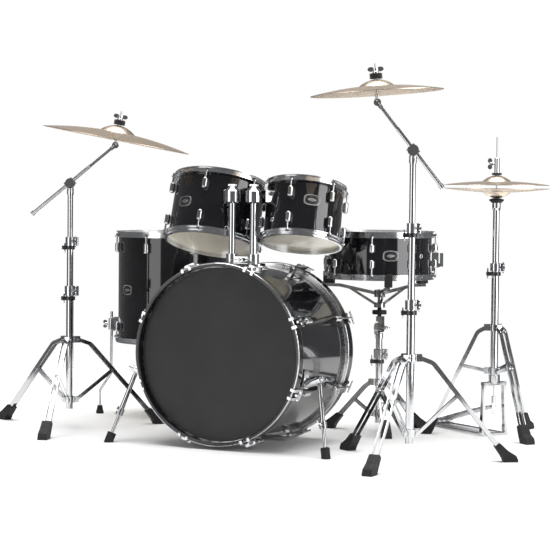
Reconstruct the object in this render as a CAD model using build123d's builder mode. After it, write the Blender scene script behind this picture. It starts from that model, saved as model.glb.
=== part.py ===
from build123d import *
import os
from math import atan2, cos, degrees, hypot, radians, sin

# Acoustic drum kit: bass drum with two rack toms on its holder, floor tom, snare drum on its stand,
# two boom cymbal stands and a hi-hat. Millimetres, +Z up, the audience at -Y, the drummer at +Y.
# The origin is on the floor, in the middle of the kit's outline. INCH sizes are the shells' nominal ones.

INCH = 25.4
KIT = Vector(55, -170, 0)      # the floor point under the bass drum's centre
RIGHT = Vector(0.9026, 0.4305, 0)      # the way the booms and stand fittings are turned
AUDIENCE = Vector(0.4305, -0.9026, 0)      # level, square to RIGHT, towards the audience

# drum hardware
PLY = 6.0
FILM = 0.6
ROD_R = 2.9
ROD_OUT = 14.5                 # tension rods from the shell's outside
LUG_GAP = 28.0                 # bearing edge to the near end of a lug
LUG_LENGTH = 36.0
RIM_HEIGHT = 12.3              # a steel hoop's top above the bearing edge

# bass drum
BASS_R = 278.5
BASS_EDGE = 190.0              # centre to each bearing edge
BASS_CENTRE_Z = 299.5
BASS_PITCH = 1.5
BASS_LUGS = 8
BASS_FIRST_LUG = 22.5
CLAW_ROD_OUT = 23.0
SPUR_PIVOT = Vector(330, -139, 235)
SPUR_FOOT = Vector(391, -219, 0)

# tom holder
POST_X = 39.0
POST_Y = -28.0
POST_R = 11.0
BALL_Z = 810.0
BALL_R = 16.9
ARM_R = 6.35
TUBE_WALL = 1.5
BASE_R = 12.7
MID_R = 11.1
TOP_R = 9.5


def kit(x, y, z=0.0):
    """A point given from the floor under the bass drum."""
    return KIT + Vector(x, y, z)


def on(base, plane):
    """A plane given in another plane's coordinates."""
    return Plane(base.location * plane.location)


def heading(angle):
    """A level direction by its angle from +X."""
    return Vector(cos(radians(angle)), sin(radians(angle)), 0)


def section(base):
    """The radius-height plane of a turned piece that stands on base."""
    return on(base, Plane.XZ)


def around(base, radius, count, first=0.0, height=0.0):
    """Places on a circle about the base's axis, each with its X pointing outward."""
    ring = PolarLocations(radius, count, first)
    return Locations(*[base.location * Location((0, 0, height)) * place for place in ring])


def write(piece, name):
    """Label a finished piece and write its STEP."""
    piece.part.label = name
    export_step(piece.part, f"parts/{name}.step")


def turned(outline, base=Plane.XY):
    """A solid turned about the base's axis from (radius, height) corners."""
    with BuildPart() as piece:
        with BuildSketch(section(base)):
            with BuildLine():
                Polyline(*outline, close=True)
            make_face()
        revolve(axis=Axis(base.origin, base.z_dir))
    return piece.part


def bar(start, end, radius, inner=0.0):
    """A round bar or tube between two points."""
    run = end - start
    with BuildPart() as piece:
        with BuildSketch(Plane(start, z_dir=run)):
            Circle(radius)
            if inner:
                Circle(inner, mode=Mode.SUBTRACT)
        extrude(amount=run.length)
    return piece.part


def wing_screw(reach, lobes=17.0):
    """A thumb screw along +Z from the origin with a two-lobed wing at its end."""
    with BuildPart() as screw:
        Cylinder(3.2, reach, align=(Align.CENTER, Align.CENTER, Align.MIN))
        with Locations((0, 0, reach)):
            Cylinder(6, 9, align=(Align.CENTER, Align.CENTER, Align.MIN))
        for side in (-1, 1):
            with BuildSketch(Plane.XZ.offset(-1.75)):
                with Locations((side * lobes * 0.62, reach + 9)):
                    Ellipse(lobes * 0.5, 7.5)
            extrude(amount=3.5)
    return screw.part


def tube_clamp(bore, height):
    """A split clamp about Z, standing on the origin, its ears and wing screw towards +X."""
    outside = bore + 5.5
    with BuildPart() as clamp:
        with BuildSketch():
            Circle(outside)
            with Locations((outside, 0)):
                RectangleRounded(24, 17, 4)
            Circle(bore, mode=Mode.SUBTRACT)
            with Locations((bore + 13, 0)):
                Rectangle(32, 2.4, mode=Mode.SUBTRACT)
        extrude(amount=height)
        with Locations((outside + 5, 0, height / 2)):
            add(wing_screw(18).rotate(Axis.X, 90).rotate(Axis.Y, 90))
    return clamp.part


# ---------------------------------------------------------------- drums


class Drum:
    """A shell's plane, sizes and lug layout, and the planes of its two bearing edges."""

    def __init__(self, centre, axis, radius, depth, lugs, first_lug):
        self.plane = Plane(centre, x_dir=(1, 0, 0), z_dir=axis)
        self.radius = radius
        self.depth = depth
        self.lugs = lugs
        self.first_lug = first_lug
        top = self.plane.offset(depth / 2)
        low = self.plane.offset(-depth / 2)
        turned_over = Plane(low.origin, x_dir=low.x_dir, z_dir=-low.z_dir)
        self.ends = ((top, first_lug), (turned_over, -first_lug))


def drum_shell(drum, ply=PLY):
    """The wooden shell with its two bevelled bearing edges."""
    inside = drum.radius - ply
    half = drum.depth / 2
    bevel = ply * 0.6
    return turned([(inside, -half + bevel), (inside + bevel, -half), (drum.radius, -half),
                   (drum.radius, half), (inside + bevel, half), (inside, half - bevel)], drum.plane)


def drum_heads(drum):
    """Both heads: a film over the bearing edge and its flesh hoop round the shell."""
    out = drum.radius + 6.5
    step = drum.radius + 1
    outline = [(0, 0), (step, 0), (step, -7), (out, -7), (out, FILM), (0, FILM)]
    with BuildPart() as heads:
        for end, _ in drum.ends:
            add(turned(outline, end))
    return heads


def drum_hoops(drum):
    """Both triple-flanged steel hoops with an ear for each tension rod."""
    r = drum.radius
    outline = [(r + 2, FILM), (r + 7.3, FILM), (r + 7.3, -8), (r + 15, -8), (r + 15, -5.7),
               (r + 9.6, -5.7), (r + 9.6, 2.9), (r + 4.3, 2.9), (r + 4.3, 10), (r + 9.5, 10),
               (r + 9.5, RIM_HEIGHT), (r + 2, RIM_HEIGHT)]
    with BuildPart() as hoops:
        for end, first in drum.ends:
            add(turned(outline, end))
            with around(end, r + ROD_OUT, drum.lugs, first, -6.85):
                Cylinder(7, 2.3)
        for end, first in drum.ends:
            with around(end, r + ROD_OUT, drum.lugs, first, -6.85):
                Cylinder(ROD_R + 0.3, 4, mode=Mode.SUBTRACT)
    return hoops


def lug_and_rod(length=LUG_LENGTH):
    """A rounded lug casting with its tension rod, standing at a shell's surface, X outward."""
    with BuildPart() as lug:
        with Locations((12, 0, -LUG_GAP - length / 2)):
            Cylinder(9, length)
        fillet(lug.edges(), 5.5)
        with Locations((4, 0, -LUG_GAP - length / 2)):
            Box(14, 11, length * 0.62)
        with Locations((ROD_OUT, 0, -LUG_GAP)):
            Cylinder(ROD_R + 0.1, 20, align=(Align.CENTER, Align.CENTER, Align.MAX), mode=Mode.SUBTRACT)
    with BuildPart() as rod:
        with Locations((ROD_OUT, 0, -LUG_GAP - 18)):
            Cylinder(ROD_R, LUG_GAP + 18 - 5.7, align=(Align.CENTER, Align.CENTER, Align.MIN))
        with Locations((ROD_OUT, 0, -5.7)):
            Cylinder(4.6, 2.4, align=(Align.CENTER, Align.CENTER, Align.MIN))
            Box(6.2, 6.2, 10.5, align=(Align.CENTER, Align.CENTER, Align.MIN))
    return lug.part, rod.part


def drum_lugs(drum, length=LUG_LENGTH):
    """Every lug and tension rod of a drum, the lugs cut to sit on the round shell."""
    lug, rod = lug_and_rod(length)
    with BuildPart() as lugs:
        for end, first in drum.ends:
            with around(end, drum.radius, drum.lugs, first):
                add(lug)
        with Locations(drum.plane.location):
            Cylinder(drum.radius, drum.depth, mode=Mode.SUBTRACT)
        for end, first in drum.ends:
            with around(end, drum.radius, drum.lugs, first):
                add(rod)
    return lugs


# ---------------------------------------------------------------- bass drum

pitch = radians(BASS_PITCH)
bass_centre = kit(0, 0, BASS_CENTRE_Z)
bass_front = Plane(bass_centre, x_dir=(1, 0, 0), z_dir=(0, -cos(pitch), sin(pitch)))
bass_rear = Plane(bass_centre, x_dir=(-1, 0, 0), z_dir=(0, cos(pitch), -sin(pitch)))
bass_edges = [bass_front.offset(BASS_EDGE), bass_rear.offset(BASS_EDGE)]
HOOP_BACK = -13.0              # the wooden hoop's inboard face from the bearing edge
HOOP_FACE = 25.0

# The shell, with two holes in its top that the tom posts go through.
with BuildPart() as bass_shell:
    with BuildSketch(bass_front.offset(-BASS_EDGE)):
        Circle(BASS_R)
        Circle(BASS_R - 8, mode=Mode.SUBTRACT)
    extrude(amount=2 * BASS_EDGE)
    with Locations(kit(POST_X, POST_Y, 550), kit(-POST_X, POST_Y, 550)):
        Cylinder(POST_R + 2, 60, mode=Mode.SUBTRACT)
write(bass_shell, "bass_shell")

# Wooden hoops, round-edged, that press on the heads' flesh hoops.
with BuildPart() as bass_hoops:
    for edge in bass_edges:
        with BuildSketch(section(edge)) as hoop_section:
            with Locations((BASS_R + 9.25, (HOOP_BACK + HOOP_FACE) / 2)):
                RectangleRounded(12.5, HOOP_FACE - HOOP_BACK, 3)
        revolve(axis=Axis(edge.origin, edge.z_dir))
write(bass_hoops, "bass_hoops")

# Heads: film, collar and flesh hoop.
bass_head = [(0, 0), (BASS_R + 0.6, 0), (BASS_R + 0.6, -23), (BASS_R + 8, -23), (BASS_R + 8, HOOP_BACK),
             (BASS_R + 1.4, HOOP_BACK), (BASS_R + 1.4, FILM), (0, FILM)]
with BuildPart() as bass_heads:
    for edge in bass_edges:
        add(turned(bass_head, edge))
write(bass_heads, "bass_heads")

# One lug casting, with a bored barrel on a waisted foot.
with BuildPart() as bass_lug:
    with Locations((CLAW_ROD_OUT - 1, 0, -72)):
        Cylinder(9, 38)
    fillet(bass_lug.edges(), 4)
    with Locations((8, 0, -72)):
        Box(22, 12, 24)
    with Locations((CLAW_ROD_OUT, 0, -53)):
        Cylinder(ROD_R + 0.1, 26, align=(Align.CENTER, Align.CENTER, Align.MAX), mode=Mode.SUBTRACT)
with BuildPart() as bass_lugs:
    for edge in bass_edges:
        with around(edge, BASS_R, BASS_LUGS, BASS_FIRST_LUG):
            add(bass_lug.part)
    with Locations(bass_front.location):
        Cylinder(BASS_R, 2 * BASS_EDGE, mode=Mode.SUBTRACT)
write(bass_lugs, "bass_lugs")

# One claw: two prongs that hook over the wooden hoop, joined by a bored bridge.
with BuildPart() as claw:
    for side in (-1, 1):
        with BuildSketch(Plane.XZ.offset(-side * 14 - 4.5)) as prong:
            with BuildLine():
                Polyline((15.8, -14), (15.8, 25.3), (6, 25.3), (6, 29.5), (17.5, 29.5), (21, 24),
                         (22, -14), close=True)
            make_face()
        extrude(amount=9)
    with Locations((23, 0, -10)):
        Box(14.4, 37, 12)
    with Locations((CLAW_ROD_OUT, 0, -10)):
        Cylinder(ROD_R + 0.3, 30, mode=Mode.SUBTRACT)
    fillet(claw.edges().filter_by(Axis.Z).sort_by(Axis.X)[-2:], 4)
with BuildPart() as bass_claws:
    for edge in bass_edges:
        with around(edge, BASS_R, BASS_LUGS, BASS_FIRST_LUG):
            add(claw.part)
write(bass_claws, "bass_claws")

# Tension rods: square keys at the front, T handles at the back.
with BuildPart() as front_rod:
    with Locations((CLAW_ROD_OUT, 0, -76)):
        Cylinder(ROD_R, 76 - 4, align=(Align.CENTER, Align.CENTER, Align.MIN))
    with Locations((CLAW_ROD_OUT, 0, -4)):
        Cylinder(6, 2.5, align=(Align.CENTER, Align.CENTER, Align.MIN))
        Box(7, 7, 14, align=(Align.CENTER, Align.CENTER, Align.MIN))
with BuildPart() as rear_rod:
    with Locations((CLAW_ROD_OUT, 0, -76)):
        Cylinder(ROD_R, 76 - 4, align=(Align.CENTER, Align.CENTER, Align.MIN))
    with Locations((CLAW_ROD_OUT, 0, -4)):
        Cylinder(6, 2.5, align=(Align.CENTER, Align.CENTER, Align.MIN))
        Cylinder(3.4, 46, align=(Align.CENTER, Align.CENTER, Align.MIN))
    with Locations((CLAW_ROD_OUT, 0, 42)):
        Cylinder(3.6, 44, rotation=(90, 0, 0))
with BuildPart() as bass_tension_rods:
    for edge, rod in zip(bass_edges, (front_rod, rear_rod)):
        with around(edge, BASS_R, BASS_LUGS, BASS_FIRST_LUG):
            add(rod.part)
write(bass_tension_rods, "bass_tension_rods")

# Spurs: a folding leg each side on a bracket; the pair mirrors about the bass drum's middle plane.
spur_run = (SPUR_FOOT - SPUR_PIVOT).normalized()
spur_axis = spur_run.cross(Vector(0, 1, 0)).normalized()
spur_pivot = KIT + SPUR_PIVOT
spur_hinge = Plane(spur_pivot, x_dir=spur_run, z_dir=spur_axis)
spur_length = (SPUR_FOOT - SPUR_PIVOT).length
middle = Plane.YZ.offset(KIT.X)

with BuildPart() as spur_bracket:
    with BuildSketch(Plane.YZ.offset(KIT.X + 262)):
        with Locations((spur_pivot.Y, spur_pivot.Z)):
            RectangleRounded(36, 60, 10)
    extrude(amount=24)
    add(bar(spur_pivot - spur_axis * 58, spur_pivot - spur_axis * 6.3, 15))
    add(bar(spur_pivot - spur_axis * 20, spur_pivot + spur_axis * 16, 4))
    add(bar(spur_pivot + spur_axis * 6.3, spur_pivot + spur_axis * 17, 9))
    with BuildSketch(on(spur_hinge, Plane.YZ).offset(-1.75)):
        for side in (-1, 1):
            with Locations((side * 15, 16)):
                Ellipse(10, 7.5)
    extrude(amount=3.5)
    with Locations(bass_front.location):
        Cylinder(BASS_R, 2 * BASS_EDGE, mode=Mode.SUBTRACT)
with BuildPart() as spur_brackets:
    add(spur_bracket.part)
    mirror(spur_bracket.part, about=middle)
write(spur_brackets, "spur_brackets")

# Leg: eye, outer tube, collar with its screw, inner rod, and a rubber tip cut flat on the floor.
with BuildPart() as right_spur:
    with Locations(spur_hinge.location):
        Cylinder(14, 12)
        Cylinder(4.06, 12, mode=Mode.SUBTRACT)
    add(bar(spur_pivot + spur_run * 10, spur_pivot + spur_run * 20, 5.9))
    add(bar(spur_pivot + spur_run * 17, spur_pivot + spur_run * 150, 8))
    add(bar(spur_pivot + spur_run * 138, spur_pivot + spur_run * 160, 11.5))
    add(bar(spur_pivot + spur_run * 150, spur_pivot + spur_run * 224, 5.5))
    with Locations(on(spur_hinge, Plane.XZ.offset(10)).location * Location((149, 0, 0))):
        add(wing_screw(10, 13))
    with BuildSketch(Plane(spur_pivot + spur_run * 222, z_dir=spur_run)):
        Circle(14.5)
    extrude(amount=spur_length - 222 + 8)
    split(bisect_by=Plane.XY, keep=Keep.TOP)
write(right_spur, "right_spur")
with BuildPart() as left_spur:
    mirror(right_spur.part, about=middle)
write(left_spur, "left_spur")

# ---------------------------------------------------------------- rack tom holder

# The base: a saddle plate on the shell, two sockets and the screw between them.
SOCKET_TOP = 622.0
with BuildPart() as tom_holder_base:
    with BuildSketch(Plane.XY.offset(560)):
        with Locations((KIT.X, KIT.Y + POST_Y)):
            RectangleRounded(150, 62, 16)
    extrude(amount=32)
    for side in (-1, 1):
        add(bar(kit(side * POST_X, POST_Y, 585), kit(side * POST_X, POST_Y, SOCKET_TOP), 19))
    with Locations(kit(0, POST_Y - 10, 604)):
        add(wing_screw(16).rotate(Axis.X, 90))
    with Locations(kit(0, POST_Y, 602)):
        Box(50, 24, 24)
    with Locations(bass_front.location):
        Cylinder(BASS_R, 2 * BASS_EDGE, mode=Mode.SUBTRACT)
    with Locations(kit(POST_X, POST_Y, 600), kit(-POST_X, POST_Y, 600)):
        Cylinder(POST_R + 0.05, 100, mode=Mode.SUBTRACT)
write(tom_holder_base, "tom_holder_base")


def tom_post(side, arm_angle):
    """A chrome post with its ball clamp: a drum-shaped casting with a window for the arm."""
    x = side * POST_X
    ball = kit(x, POST_Y, BALL_Z)
    window = Plane(ball, x_dir=(cos(radians(arm_angle)), sin(radians(arm_angle)), 0), z_dir=(0, 0, 1))
    with BuildPart() as post:
        add(bar(kit(x, POST_Y, 520), ball - Vector(0, 0, 18), POST_R, POST_R - 2))
        with BuildSketch(section(Plane(ball))):
            with BuildLine():
                Polyline((0, -22), (20, -22), (27, -17), (27, 18), (24, 21), (12, 30), (12, 33), (7, 37),
                         (0, 37), close=True)
            make_face()
            Circle(BALL_R + 0.06, mode=Mode.SUBTRACT)
        revolve(axis=Axis(ball, (0, 0, 1)))
        with Locations(window.location):
            Box(40, 28, 32, align=(Align.MIN, Align.CENTER, Align.CENTER), mode=Mode.SUBTRACT)
        with BuildSketch(Plane(ball + Vector(0, 0, 40))):
            SlotOverall(34, 9)
        extrude(amount=-6)
    return post


def tom_arm(side, arm_angle, reach):
    """A ball with the hexagonal arm that carries the tom."""
    ball = kit(side * POST_X, POST_Y, BALL_Z)
    with BuildPart() as arm:
        with Locations(ball):
            Sphere(BALL_R)
        with BuildSketch(Plane(ball, z_dir=heading(arm_angle))):
            RegularPolygon(ARM_R, 6)
        extrude(amount=reach)
    return arm


def tom_shell(drum, side, arm_angle, reach):
    """A rack tom's shell with the bored bracket that slides on the arm."""
    ball = kit(side * POST_X, POST_Y, BALL_Z)
    with BuildPart() as shell:
        with BuildSketch(Plane(ball, z_dir=heading(arm_angle)).offset(33)):
            RectangleRounded(46, 46, 8)
            RegularPolygon(ARM_R + 0.07, 6, mode=Mode.SUBTRACT)
        extrude(amount=reach - 10)
        with Locations(drum.plane.location):
            Cylinder(drum.radius, drum.depth, mode=Mode.SUBTRACT)
        add(drum_shell(drum))
    return shell


left_tom = Drum(kit(-173.7, 124.2, 752), (0, sin(radians(18)), cos(radians(18))), 151.5, 8 * INCH, 6, -81.5)
right_tom = Drum(kit(157.7, 104, 750), (-0.043, 0.275, 0.96), 126, 7 * INCH, 6, -86)
for name, drum, side, arm_angle, reach in (("left_tom", left_tom, -1, 129, 53),
                                           ("right_tom", right_tom, 1, 52.1, 57)):
    write(tom_post(side, arm_angle), name + "_post")
    write(tom_arm(side, arm_angle, reach), name + "_arm")
    write(tom_shell(drum, side, arm_angle, reach), name + "_shell")
    write(drum_heads(drum), name + "_heads")
    write(drum_hoops(drum), name + "_hoops")
    write(drum_lugs(drum), name + "_lugs")

# ---------------------------------------------------------------- floor tom

FLOOR_LEG_OUT = 26.0           # leg rods from the shell's outside
FLOOR_LEG_TOP = 378.0
FLOOR_LEGS_AT = (203.6, 338.6, 68.6)   # each leg is midway between two lugs
BRACKET_Z = 332.0
floor_tom = Drum(kit(-572, 553, 473), (0, 0, 1), 202, 15 * INCH, 8, -88.9)
with BuildPart() as floor_tom_shell:
    add(drum_shell(floor_tom))
write(floor_tom_shell, "floor_tom_shell")
write(drum_heads(floor_tom), "floor_tom_heads")
write(drum_hoops(floor_tom), "floor_tom_hoops")
write(drum_lugs(floor_tom), "floor_tom_lugs")

leg_ring = Plane(floor_tom.plane.origin - Vector(0, 0, floor_tom.plane.origin.Z))
leg_spots = Locations(*[leg_ring.location * Location((0, 0, 0), (0, 0, angle))
                        * Location((floor_tom.radius, 0, 0)) for angle in FLOOR_LEGS_AT])
with BuildPart() as leg_bracket:
    with Locations((FLOOR_LEG_OUT - 2, 0, BRACKET_Z)):
        Box(26, 28, 40)
    fillet(leg_bracket.edges().filter_by(Axis.Z).sort_by(Axis.X)[-2:], 9)
    with Locations((FLOOR_LEG_OUT - 18, 0, BRACKET_Z)):
        Box(20, 38, 50)
    with Locations((FLOOR_LEG_OUT + 5, 0, BRACKET_Z)):
        add(wing_screw(10, 13).rotate(Axis.Y, 90))
    with Locations((FLOOR_LEG_OUT, 0, BRACKET_Z)):
        Cylinder(4.85, 100, mode=Mode.SUBTRACT)
with BuildPart() as floor_tom_leg_brackets:
    with leg_spots:
        add(leg_bracket.part)
    with Locations(floor_tom.plane.location):
        Cylinder(floor_tom.radius, floor_tom.depth, mode=Mode.SUBTRACT)
write(floor_tom_leg_brackets, "floor_tom_leg_brackets")

# A leg: straight through its bracket, stepped outward low down, with a rubber foot.
with BuildPart() as floor_leg:
    with BuildLine() as leg_route:
        FilletPolyline((FLOOR_LEG_OUT, 0, FLOOR_LEG_TOP), (FLOOR_LEG_OUT, 0, 150), (68, 0, 86), (68, 0, 20),
                       radius=30)
    with BuildSketch(Plane((FLOOR_LEG_OUT, 0, FLOOR_LEG_TOP), z_dir=(0, 0, -1))):
        Circle(4.8)
    sweep()
with BuildPart() as floor_foot:
    add(turned([(0, 0), (13, 0), (14.5, 5), (12, 14), (9, 30), (0, 30)], Plane((68, 0, 0))))
with BuildPart() as floor_tom_legs:
    with leg_spots:
        add(floor_leg.part)
        add(floor_foot.part)
write(floor_tom_legs, "floor_tom_legs")

# ---------------------------------------------------------------- tripods


FOOT_RISE = 38.0               # how far a rubber foot reaches up its leg


class Tripod:
    """Where a stand stands, how wide its feet are and how high its two hubs sit."""

    def __init__(self, x, y, spread, first, hub, low_hub, top, collar):
        self.foot = kit(x, y)
        self.spread = spread
        self.first = first
        self.hub = hub
        self.low_hub = low_hub
        self.top = top
        self.collar = collar

    def legs(self):
        """The radius-height plane of each leg."""
        return [Plane(self.foot, x_dir=heading(self.first + turn), z_dir=heading(self.first + turn - 90))
                for turn in (0, 120, 240)]

    def knee(self):
        """Where a leg bends down."""
        return 24 + (self.spread - 24) * 0.16, self.hub - 16

    def ankle(self):
        """Where a leg enters its foot, and the direction of its sloping run."""
        knee = Vector(*self.knee())
        end = Vector(self.spread - 22, 24)
        run = (end - knee).normalized()
        return end - run * FOOT_RISE, run

    def joint(self):
        """Where the brace meets the leg, on its sloping run."""
        knee, drop = self.knee()
        return knee + (self.spread - 22 - knee) * 0.35, drop - (drop - 24) * 0.35


tripods = {
    "left": Tripod(-706, 48, 332, 47, 306, 97, 492, 443),
    "right": Tripod(642, -154, 318, 30, 322, 90, 500, 454),
    "snare": Tripod(275.4, 485.1, 190, 61, 170, 62, 285, 236),
    "hihat": Tripod(662.4, 578.4, 235, 78, 370, 222, 589, 547),
}
RAIL = 11.0                    # legs are pairs of rails this far either side of the middle
RAIL_T = 2.5
BRACE_RAIL = 7.0


def leg(stand, plane):
    """One leg: two bent rails riveted together at the hub and where the brace joins."""
    ankle, _ = stand.ankle()
    with BuildPart() as piece:
        for side in (-1, 1):
            with BuildSketch(plane.offset(side * (RAIL - RAIL_T / 2) - RAIL_T / 2)):
                with BuildLine() as route:
                    FilletPolyline((28, stand.hub), stand.knee(), (ankle.X, ankle.Y), radius=30)
                trace(route.line, line_width=13)
            extrude(amount=RAIL_T)
        for x, z in ((30, stand.hub), stand.joint()):
            with Locations(plane.location * Location((x, z, 0))):
                Cylinder(3, 2 * RAIL + 5)
    return piece.part


def brace(stand, plane):
    """One brace: two narrow rails from the low hub to the leg's rivet."""
    x, z = stand.joint()
    with BuildPart() as piece:
        for side in (-1, 1):
            with BuildSketch(plane.offset(side * (BRACE_RAIL - RAIL_T / 2) - RAIL_T / 2)):
                with BuildLine() as route:
                    Line((27, stand.low_hub), (x, z))
                trace(route.line, line_width=10)
                with Locations((27, stand.low_hub), (x, z)):
                    Circle(7)
                with Locations((x, z)):
                    Circle(3.1, mode=Mode.SUBTRACT)
            extrude(amount=RAIL_T)
        with Locations(plane.location * Location((27, stand.low_hub, 0))):
            Cylinder(2.5, 2 * BRACE_RAIL)
    return piece.part


def foot(stand, plane):
    """One rubber foot, flat on the floor: a boot that narrows up its leg."""
    ankle, run = stand.ankle()
    square = Vector(-run.Y, run.X)
    heel = ankle + run * FOOT_RISE
    high, low = heel + square * 16, heel - square * 13
    top, back = ankle + square * 10, ankle - square * 10
    with BuildPart() as piece:
        with BuildSketch(plane.offset(-16)):
            with BuildLine():
                Polyline((top.X, top.Y), (high.X, high.Y), (stand.spread + 14, 20), (stand.spread + 20, 8),
                         (stand.spread + 20, 0), (stand.spread - 24, 0), (low.X, max(low.Y, 6)),
                         (back.X, back.Y), close=True)
            make_face()
        extrude(amount=32)
        fillet(piece.edges().group_by(Axis.Z)[-1], 5)
    return piece.part


with BuildPart() as stand_legs:
    for stand in tripods.values():
        for plane in stand.legs():
            add(leg(stand, plane))
write(stand_legs, "stand_legs")
with BuildPart() as stand_braces:
    for stand in tripods.values():
        for plane in stand.legs():
            add(brace(stand, plane))
write(stand_braces, "stand_braces")
with BuildPart() as stand_feet:
    for stand in tripods.values():
        for plane in stand.legs():
            add(foot(stand, plane))
write(stand_feet, "stand_feet")

HUB_FIT = 0.05
with BuildPart() as stand_base_tubes:
    for name, stand in tripods.items():
        low = 200 if name == "hihat" else stand.low_hub - 32
        add(bar(stand.foot + Vector(0, 0, low), stand.foot + Vector(0, 0, stand.top), BASE_R, MID_R + 0.1))
write(stand_base_tubes, "stand_base_tubes")


def hub(stand, height, tab_width, pin_out, pin_r):
    """A ring casting on the base tube with three bored tabs for the legs or braces."""
    place = Plane(stand.foot + Vector(0, 0, height))
    with BuildPart() as piece:
        with BuildSketch(place.offset(-11)):
            Circle(19.5)
            with PolarLocations(pin_out / 2 + 10, 3, stand.first):
                Rectangle(pin_out - 8, tab_width)
            Circle(BASE_R + HUB_FIT, mode=Mode.SUBTRACT)
        extrude(amount=22)
        for plane in stand.legs():
            with Locations(plane.location * Location((pin_out, height, 0))):
                Cylinder(pin_r + 0.1, tab_width + 4, mode=Mode.SUBTRACT)
    return piece.part


with BuildPart() as stand_collars:
    for name, stand in tripods.items():
        add(hub(stand, stand.hub, 2 * (RAIL - RAIL_T) - 0.4, 30, 3))
        add(hub(stand, stand.low_hub, 2 * (BRACE_RAIL - RAIL_T) - 0.4, 27, 2.5))
        with Locations(Plane(stand.foot + Vector(0, 0, stand.collar), x_dir=-RIGHT).location):
            add(tube_clamp(BASE_R + HUB_FIT, 13))
        with Locations(Plane(stand.foot + Vector(0, 0, stand.collar + 16), x_dir=RIGHT).location):
            add(tube_clamp(BASE_R + HUB_FIT, stand.top - stand.collar - 16))
write(stand_collars, "stand_collars")

# ---------------------------------------------------------------- boom stands

DISC_R = 17.0                  # toothed discs of a boom clamp
ARM_PLANE = 24.0               # the boom's distance in front of its stand
SEAT = 67.0                    # tilter pivot to the cymbal's underside
BELL_HOLE = 6.8


def cymbal(plane, radius, bell_r, bell_high, bow_high, thick=1.6):
    """A cymbal about the plane's axis, whose origin is on the bell's underside at the hole."""
    low = bell_high + bow_high
    round_r = (radius ** 2 - bell_r ** 2) / (2 * bow_high)
    between = (radius + bell_r) / 2
    between_z = -bell_high - (between ** 2 - bell_r ** 2) / (2 * round_r)
    dome = bell_r * 0.6
    dome_z = -bell_high * 0.33
    with BuildPart() as piece:
        with BuildSketch(section(plane)):
            with BuildLine():
                for lift in (0, thick):
                    edge = (bell_r, lift - bell_high)
                    ThreePointArc((radius, lift - low), (between, lift + between_z), edge)
                    ThreePointArc(edge, (dome, lift + dome_z), (BELL_HOLE, lift))
                Line((radius, -low), (radius, thick - low))
                Line((BELL_HOLE, 0), (BELL_HOLE, thick))
            make_face()
        revolve(axis=Axis(plane.origin, plane.z_dir))
    return piece


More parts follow.
